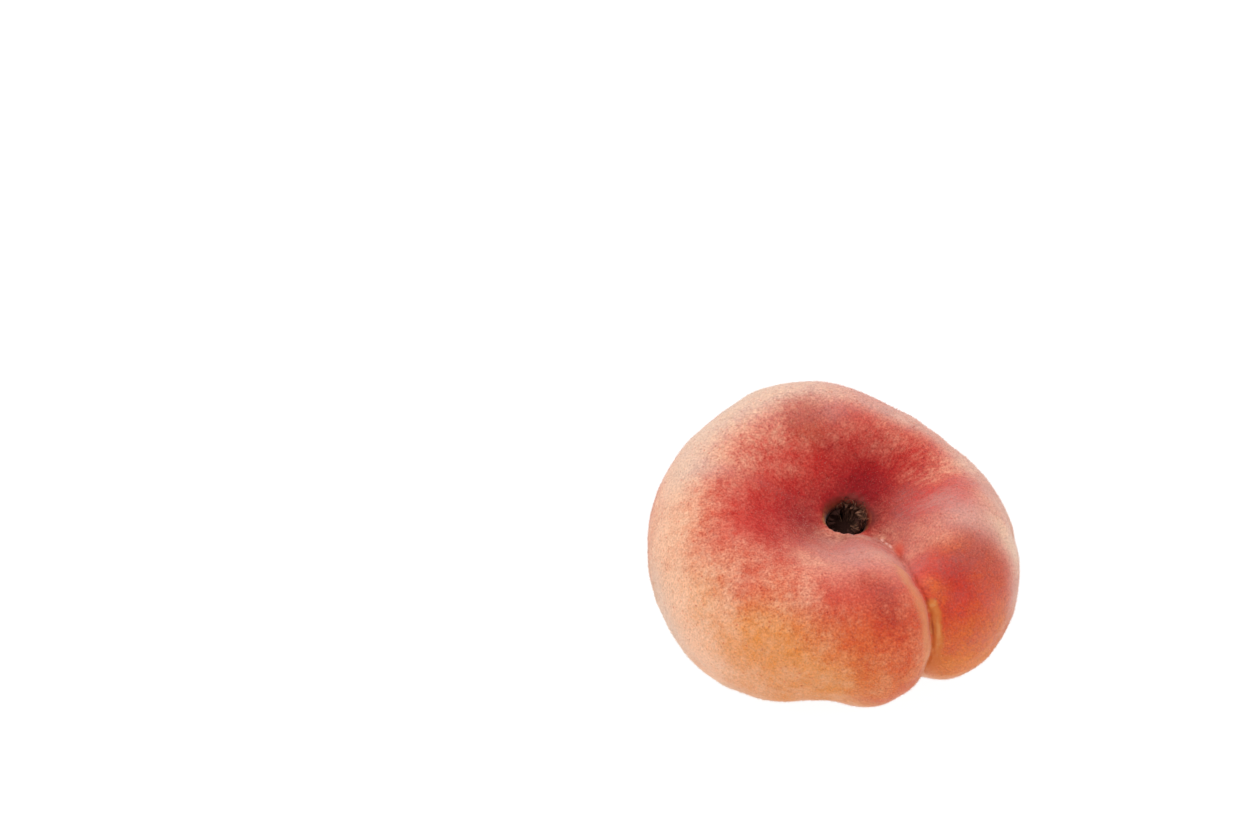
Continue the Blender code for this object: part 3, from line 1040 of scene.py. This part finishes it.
@dataclass
class DownCoat:
    """The down: short spikes, rooted in the skin, in a few pieces."""

    skin: Skin
    tones: tuple = (DownTone.PALE, DownTone.PALE, DownTone.PALE, DownTone.ROSY)
    hairs_a_piece: int = 49000
    shortest: float = 0.2
    longest: float = 0.5
    thickness: float = 0.032
    rooted: float = 0.05
    tilt: float = 0.45
    swirl: float = 0.4
    combed: float = 0.35
    least_rise: float = 0.25
    clear_of_floor: float = 0.02
    grows: tuple = (Fade(5.0, 2.0), Fade(20.0, 0.8))
    bare_slit: float = 0.95
    red_under_bloom_and_sheen: float = 0.3
    rosy_on_crimson: float = 0.5
    pale_most: float = 1.1
    pale_less: dict = field(default_factory=lambda: {"blush": 0.85, "crimson": 0.3, "bloom": -0.4})
    seed: int = 11

    def density(self, tone: DownTone) -> Array:
        """How thickly the down of a tone grows in each cell.

        None grows in the hole, in the cleft's slit or under the flat spot. The rosy down grows on the
        blush, less on crimson, and the pale down elsewhere and most on the greyish patches of own tone
        and painted sheen.

        Args:
            tone: of the down.

        Returns:
            Density at each point of the grid but those of its last row.
        """
        open_skin = between(self.skin.station, *self.grows)
        lifted = self.skin.points[..., 2] > self.clear_of_floor
        in_slit = self.skin.along_cleft(0.9, 1.3, 6.0, 14.0)
        tints = {name: np.clip(self.skin.mask(name), 0, 1) for name in self.pale_less}
        tints["blush"] = tints["blush"] * (1 - (1 - self.red_under_bloom_and_sheen) * tints["bloom"])
        if tone is DownTone.ROSY:
            grown = tints["blush"] * (1 - self.rosy_on_crimson * tints["crimson"])
        else:
            grown = self.pale_most - sum(less * tints[name] for name, less in self.pale_less.items())
        return (open_skin * lifted * (1 - self.bare_slit * in_slit) * np.maximum(grown, 0))[:-1]

    def roots(self, draw: Draw, tone: DownTone) -> tuple[Array, Array, Array, dict[str, Array]]:
        """Draws places on the skin, by area and density.

        Args:
            draw: the random generator.
            tone: whose density is used.

        Returns:
            Places in millimetres, the skin's normals there, the direction away from the hole, and the
            skin's masks that the hairs' colour depends on.
        """
        points, normals = self.skin.points, self.skin.normals
        down = points[1:] - points[:-1]
        over = np.roll(points, -1, axis=1)[:-1] - points[:-1]
        weight = (np.linalg.norm(np.cross(down, over), axis=-1) * self.density(tone)).ravel()
        cell = np.searchsorted(np.cumsum(weight) / weight.sum(), draw.random(self.hairs_a_piece))
        row, column = np.divmod(cell, points.shape[1])
        beside = (column + 1) % points.shape[1]
        u, v = draw.random((2, self.hairs_a_piece, 1))

        def blended(grid: Array) -> Array:
            """The grid's value inside each drawn cell, blended from its four corners."""
            top = grid[row, column] * (1 - u) + grid[row, beside] * u
            return top * (1 - v) + (grid[row + 1, column] * (1 - u) + grid[row + 1, beside] * u) * v

        shades = {
            name: np.clip(blended(self.skin.mask(name)[..., None])[:, 0], 0, 1)
            for name in ("warm", "blush")
        }
        return blended(points), unit(blended(normals)), unit(down[row, column]), shades

    def spikes(self, root: Array, normal: Array, away: Array, draw: Draw) -> Array:
        """Four points of each hair: three round its root and its tip.

        A hair leaves along the normal, leaning away from the hole, plus a swirl that changes slowly over
        the skin, plus a random tilt, and it is lifted where that would lay it on the skin.

        Args:
            root: (hairs, 3) places on the skin.
            normal: the skin's normals there.
            away: directions away from the hole.
            draw: the random generator.

        Returns:
            (hairs, 4, 3) points in millimetres.
        """
        swirl = np.stack([Ripples(6.0, seed=20 + k).at(root) for k in range(3)], axis=-1)
        wild = draw.normal(size=root.shape)
        aim = unit(normal + self.combed * away + self.swirl * swirl + self.tilt * wild)
        risen = (aim * normal).sum(axis=-1, keepdims=True)
        aim = unit(aim + 2 * normal * np.maximum(self.least_rise - risen, 0))
        length = draw.uniform(self.shortest, self.longest, (len(root), 1))
        side = unit(np.cross(aim, unit(draw.normal(size=root.shape))))
        other = np.cross(aim, side)
        base = root - normal * self.rooted
        corners = [
            base + self.thickness / 2 * (math.cos(turned) * side + math.sin(turned) * other)
            for turned in (0.0, 2 * math.pi / 3, 4 * math.pi / 3)
        ]
        tip = base + aim * (length + self.rooted)
        tip[:, 2] = np.maximum(tip[:, 2], self.clear_of_floor)
        return np.stack([*corners, tip], axis=1)

    def build(self) -> list[Piece]:
        """Makes the pieces, each in its tone."""
        draw = np.random.default_rng(self.seed)
        finishes = {tone: Down(f"down_{tone.name.lower()}", tone) for tone in dict.fromkeys(self.tones)}
        around_root = np.array([[0, 1, 3], [1, 2, 3], [2, 0, 3], [0, 2, 1]])
        made = []
        for number, tone in enumerate(self.tones):
            root, normal, away, shades = self.roots(draw, tone)
            points = self.spikes(root, normal, away, draw)
            faces = (4 * np.arange(len(points))[:, None, None] + around_root).reshape(-1, 3)
            coat = add_mesh(f"down_{number + 1}", points.reshape(-1, 3), [faces], finishes[tone])
            for name, shade in shades.items():
                store(coat, name, np.repeat(shade, 4))
            made.append(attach(coat, ROOT))
        return made


@dataclass
class Blossom:
    """The dried blossom in the hole: a rough pad, ragged flaps along its far walls, and curly fibres."""

    stand: Stand
    pad_radius: float = 3.1
    pad_bottom: float = 3.35
    pad_thickness: float = 1.2
    pad_paleness: float = 0.05
    flap_count: int = 17
    flap_from: float = -70.0
    flap_to: float = 215.0
    flap_width: float = 1.6
    flap_thickness: float = 0.16
    flap_curl: float = 0.35
    flap_radii: tuple = (1.8, 3.0, 3.4, 3.5, 3.6)
    flap_heights: tuple = (0, 0.9, 2.4, 4.0, 5.2)
    flap_bottom: float = 4.0
    flap_steps: int = 22
    flap_sides: int = 10
    notch_depth: float = 0.22
    pale_towards: float = 15.0
    fibre_count: int = 80
    fibres_towards: tuple = (25, 45)
    fibre_radius: float = 0.06
    fibre_curl: float = 0.9
    fibre_radii: tuple = (1.6, 3.0, 3.5, 3.7, 4.1, 4.6)
    fibre_heights: tuple = (0, 0.8, 2.0, 3.4, 4.8, 5.6)
    fibre_bottom: float = 4.2
    fibre_steps: int = 26
    fibre_sides: int = 5
    seed: int = 31

    def pad(self) -> Shred:
        """A flattened ball with folds that run out from its middle."""
        rows, columns = 26, 72
        polar = np.linspace(0, math.pi, rows + 1)[:, None]
        a = np.linspace(0, 2 * math.pi, columns, endpoint=False)[None, :]
        folds = 0.1 * np.cos(9 * a + 2 * np.sin(2 * a)) + 0.06 * np.cos(17 * a)
        r = self.pad_radius * np.sin(polar) * (1 + 0.03 * np.cos(3 * a) + 0.02 * np.cos(11 * a))
        rise = (0.5 + 0.5 * np.cos(polar)) * (1 + folds * np.sin(polar))
        z = self.pad_bottom + self.pad_thickness * rise
        points = flat_list(carried(r, a, z))
        return points, closed_faces(rows, columns), np.full(len(points), self.pad_paleness)

    def strips(self, lines: Lines, wide: Array, thick: Array, sides: int, pale: Array) -> Shred:
        """Strips or fibres with an oval section, closed to a point at both ends.

        Args:
            lines: middle lines, directions of the section's thin axis and of its wide axis.
            wide: half widths, (strips, steps + 1).
            thick: half thicknesses.
            sides: points round the section.
            pale: paleness of each strip.

        Returns:
            Points, faces and each point's paleness.
        """
        middle, out, across = lines
        count, steps = middle.shape[0], middle.shape[1] - 1
        around = np.linspace(0, 2 * math.pi, sides, endpoint=False)
        grid = (
            middle[:, :, None]
            + across[:, :, None] * (wide[..., None] * np.cos(around))[..., None]
            + out[:, :, None] * (thick[..., None] * np.sin(around))[..., None]
        )
        points = np.concatenate([flat_list(one) for one in grid])
        each = len(points) // count
        shift = each * np.arange(count)[:, None, None]
        groups = closed_faces(steps, sides)
        faces = [(group[None] + shift).reshape(-1, group.shape[1]) for group in groups]
        return points, faces, np.repeat(pale, each)

    def curled(self, draw: Draw, angle: Array, path: Array, curl: float, t: Array) -> Lines:
        """Middle lines that climb the hole's wall and wander, and their two section directions.

        Args:
            draw: the random generator.
            angle: direction in radians of each line's root.
            path: (lines, points, 2) radius and height of each line's control points.
            curl: how far it wanders sideways, in millimetres.
            t: places along each line, 0 to 1.

        Returns:
            Middle lines, outward directions and sideways directions, each (lines, places, 3).
        """
        place = np.stack([spline(one, t)[0] for one in path])
        phase = draw.uniform(0, 2 * math.pi, (len(angle), 1))
        turns = draw.uniform(0.6, 1.7, (len(angle), 1))
        wander = curl * t**1.3 * np.sin(2 * math.pi * turns * t + phase)
        ripple = 0.35 * curl * t * np.cos(2 * math.pi * turns * 1.7 * t + phase)
        r = place[..., 0] + ripple
        a = angle[:, None] + wander / np.maximum(r, 1.0)
        middle = carried(r, a, place[..., 1])
        slope = unit(np.gradient(middle, axis=1))
        across = np.stack([-np.sin(a), np.cos(a), 0 * a], axis=-1)
        out = unit(np.cross(slope, across))
        return middle, out, unit(np.cross(out, slope))

    def flaps(self, draw: Draw) -> Shred:
        """Ragged tapering flaps along the wall, some curled in at the top."""
        t = np.linspace(0, 1, self.flap_steps + 1)
        angle = np.radians(np.linspace(self.flap_from, self.flap_to, self.flap_count))
        angle = angle + draw.normal(0, 0.07, self.flap_count)
        reach = draw.uniform(0.4, 0.6, self.flap_count)
        reach = reach + draw.uniform(0.35, 0.6, self.flap_count) * self.paleness(angle)
        tip_in = draw.uniform(0.3, 1.3, self.flap_count)
        path = np.zeros((self.flap_count, len(self.flap_radii), 2))
        path[:, :, 0] = self.flap_radii
        path[:, -1, 0] -= tip_in
        path[:, :, 1] = self.flap_bottom + np.array(self.flap_heights) * reach[:, None]
        lines = self.curled(draw, angle, path, self.flap_curl, t)
        notches = t * draw.uniform(14, 30, (self.flap_count, 1))
        ragged = 1 + self.notch_depth * np.sin(notches + draw.uniform(0, 6, (self.flap_count, 1)))
        taper = np.sin(math.pi * t) ** 0.45 * (1 - 0.35 * t)
        wide = self.flap_width / 2 * taper * ragged
        thick = self.flap_thickness / 2 * np.sin(math.pi * t) ** 0.3 + 0 * wide
        pale = self.paleness(angle) * draw.uniform(0.1, 0.5, self.flap_count)
        return self.strips(lines, wide, thick, self.flap_sides, pale)

    def fibres(self, draw: Draw) -> Shred:
        """Thin curly fibres from the pad and the wall, thickest together at the far right of the hole."""
        t = np.linspace(0, 1, self.fibre_steps + 1)
        count = self.fibre_count
        angle = np.radians(draw.normal(*self.fibres_towards, count))
        reach = draw.uniform(0.35, 0.7, count) + draw.uniform(0.3, 0.65, count) * self.paleness(angle)
        path = np.zeros((count, len(self.fibre_radii), 2))
        path[:, :, 0] = np.array(self.fibre_radii) + draw.normal(0, 0.12, path.shape[:2])
        path[:, :, 1] = self.fibre_bottom + np.array(self.fibre_heights) * reach[:, None]
        path[:, 3:, 0] -= np.cumsum(draw.uniform(-0.1, 0.45, (count, 3)), axis=1)
        lines = self.curled(draw, angle, path, self.fibre_curl, t)
        size = self.fibre_radius * draw.uniform(0.7, 1.5, (count, 1))
        round_size = size * np.sin(math.pi * t) ** 0.25 * (1 - 0.5 * t)
        pale = (0.3 + 0.7 * self.paleness(angle)) * (0.1 + draw.random(count) ** 2.5)
        return self.strips(lines, round_size, round_size, self.fibre_sides, pale)

    def paleness(self, angle: Array) -> Array:
        """1 where the remnant is straw-coloured, 0 opposite, from the cosine of the direction."""
        return np.clip(0.35 + 0.65 * np.cos(angle - math.radians(self.pale_towards)), 0, 1)

    def build(self, finish: Finish) -> list[Piece]:
        """Makes the pad, the flaps and the fibres, where the CAD remnant is."""
        draw = np.random.default_rng(self.seed)
        parts = {"pad": self.pad(), "flaps": self.flaps(draw), "fibres": self.fibres(draw)}
        made = []
        for name, (points, faces, pale) in parts.items():
            piece = add_mesh(f"blossom_{name}", self.stand.place(points), faces, finish)
            store(piece, "pale", pale)
            made.append(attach(piece, ROOT))
        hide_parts("blossom_remnant")
        return made


@dataclass
class StemStub:
    """The short woody stub in the cavity underneath: ribbed bark, a swollen top and a torn end."""

    stand: Stand
    top: tuple = ((0.0, -8.2), (2.0, -8.2), (2.6, -8.8), (2.2, -9.9))
    shank: tuple = ((1.9, -11.4), (1.9, -13.0), (2.1, -14.1), (0.0, -14.3))
    bend: float = 0.5
    ragged_end: Fade = Fade(0.75, 0.25)
    raggedness: float = 0.16
    pith: Fade = Fade(0.86, 0.06)
    rows: int = 90
    columns: int = 96

    def build(self, finish: Finish) -> Piece:
        """Carries the profile round, with five ribs, fine bark ridges and a ragged end.

        Args:
            finish: its material.

        Returns:
            The object, which replaces the CAD stub.
        """
        t = np.linspace(0, 1, self.rows + 1)[:, None]
        a = np.linspace(0, 2 * math.pi, self.columns, endpoint=False)[None, :]
        place, _ = spline(self.top + self.shank, t[:, 0])
        radius, height = place[:, :1], place[:, 1:]
        down = (self.top[0][1] - height) / (self.top[0][1] - self.shank[-1][1])
        ribs = 0.07 * np.cos(5 * a) + 0.05 * np.cos(2 * a + 0.6) + 0.018 * np.cos(23 * a + 5 * down)
        bark = 0.012 * np.sin(a * 41 + 9 * np.sin(3 * a)) * np.sin(math.pi * t) ** 0.3
        teeth = np.cos(2 * a - 0.7) + 0.6 * np.cos(5 * a) + 0.5 * np.cos(13 * a + 4 * radius)
        torn = self.ragged_end.at(down) * radius * self.raggedness * teeth
        grid = carried(radius * (1 + ribs + bark), a, height + torn)
        grid[..., 0] += self.bend * down**2
        grid[0], grid[-1] = grid[0].mean(axis=0), grid[-1].mean(axis=0)
        points = self.stand.place(flat_list(grid))
        made = add_mesh("stub", points, closed_faces(self.rows, self.columns), finish)
        pith = np.broadcast_to(self.pith.at(t), grid.shape[:2])
        store(made, "torn", flat_list(pith))
        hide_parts("stem_stub")
        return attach(made, ROOT)


def look_from(made: Piece, place: Vector, target: Vector) -> None:
    """Puts a light or a camera at a place, aimed at a target."""
    made.location = place
    made.rotation_euler = (target - place).to_track_quat("-Z", "Y").to_euler()


class Lamp(Enum):
    """The soft lights: place in metres, size in metres, power in watts."""

    KEY = ((-0.75, -0.15, 0.95), 0.9, 6.0)
    BACK = ((0.15, 0.95, 0.8), 0.9, 5.0)
    RIGHT = ((0.9, -0.35, 0.6), 0.8, 3.0)


@dataclass(frozen=True)
class Studio:
    """A plain pale floor, a bright even sky, three large soft lights and the photograph's camera."""

    floor_size: float = 6.0
    floor_colour: tuple = (0.15, 0.15, 0.15, 1.0)
    floor_glow: float = 0.93
    sky_strength: float = 0.62
    lens: float = 100.0
    elevation: float = 47.0
    distance: float = 0.640
    target: tuple[float, float, float] = (-0.03894, 0.00158, 0.0524)
    lit: tuple[float, float, float] = (0.0, 0.0, 0.02)

    def floor(self) -> Piece:
        """The floor, on which the fruit stands."""
        half = self.floor_size / 2 / MM
        corners = half * np.array([(-1, -1, 0), (1, -1, 0), (1, 1, 0), (-1, 1, 0)])
        paint = Finish("pale_floor")
        paint.constant(
            Base_Color=self.floor_colour,
            Roughness=0.9,
            Specular_IOR_Level=0.0,
            Emission_Color=WHITE,
            Emission_Strength=self.floor_glow,
        )
        made = add_mesh("floor", corners, [np.array([[0, 1, 2, 3]])], paint)
        return made

    def lights(self) -> None:
        """The sky and the soft lights, aimed at the fruit."""
        world = bpy.data.worlds.new("studio")
        bpy.context.scene.world = world
        world.use_nodes = True
        sky = world.node_tree.nodes["Background"]
        sky.inputs["Color"].default_value = WHITE
        sky.inputs["Strength"].default_value = self.sky_strength
        for lamp in Lamp:
            place, size, power = lamp.value
            light = bpy.data.lights.new(lamp.name.lower(), "AREA")
            light.energy = power
            light.size = size
            look_from(add_object(lamp.name.lower(), light), Vector(place), Vector(self.lit))

    def camera(self) -> Piece:
        """The camera, looking along +Y and down, with the fruit right of the middle."""
        up = math.radians(self.elevation)
        back = Vector((0, -math.cos(up), math.sin(up)))
        data = bpy.data.cameras.new("camera")
        data.lens = self.lens
        data.sensor_width = 36.0
        data.clip_start = 0.01
        made = add_object("camera", data)
        target = Vector(self.target)
        look_from(made, target + back * self.distance, target)
        bpy.context.scene.camera = made
        return made


def report(pieces: Iterable[Piece]) -> None:
    """Logs each piece with its count of triangles."""
    for piece in pieces:
        count = sum(len(face.vertices) - 2 for face in piece.data.polygons)
        log.info("%s: %d triangles", piece.name, count)


def main() -> None:
    """Builds the studio, then the skin, the down, the blossom and the stub."""
    logging.basicConfig(level=logging.INFO, format="%(name)s %(message)s")
    studio = Studio()
    studio.camera()
    studio.floor()
    studio.lights()
    bpy.context.scene.view_settings.view_transform = "Standard"

    form = FruitForm()
    stand = Stand(form)
    skin = Skin(form, stand)
    report([skin.build(PeachSkin("peach_skin"))])
    report(DownCoat(skin).build())
    report(Blossom(stand).build(DriedBlossom("dried_blossom")))
    report([StemStub(stand).build(StemWood("stem_wood"))])

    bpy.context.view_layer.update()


if __name__ == "__main__":
    main()
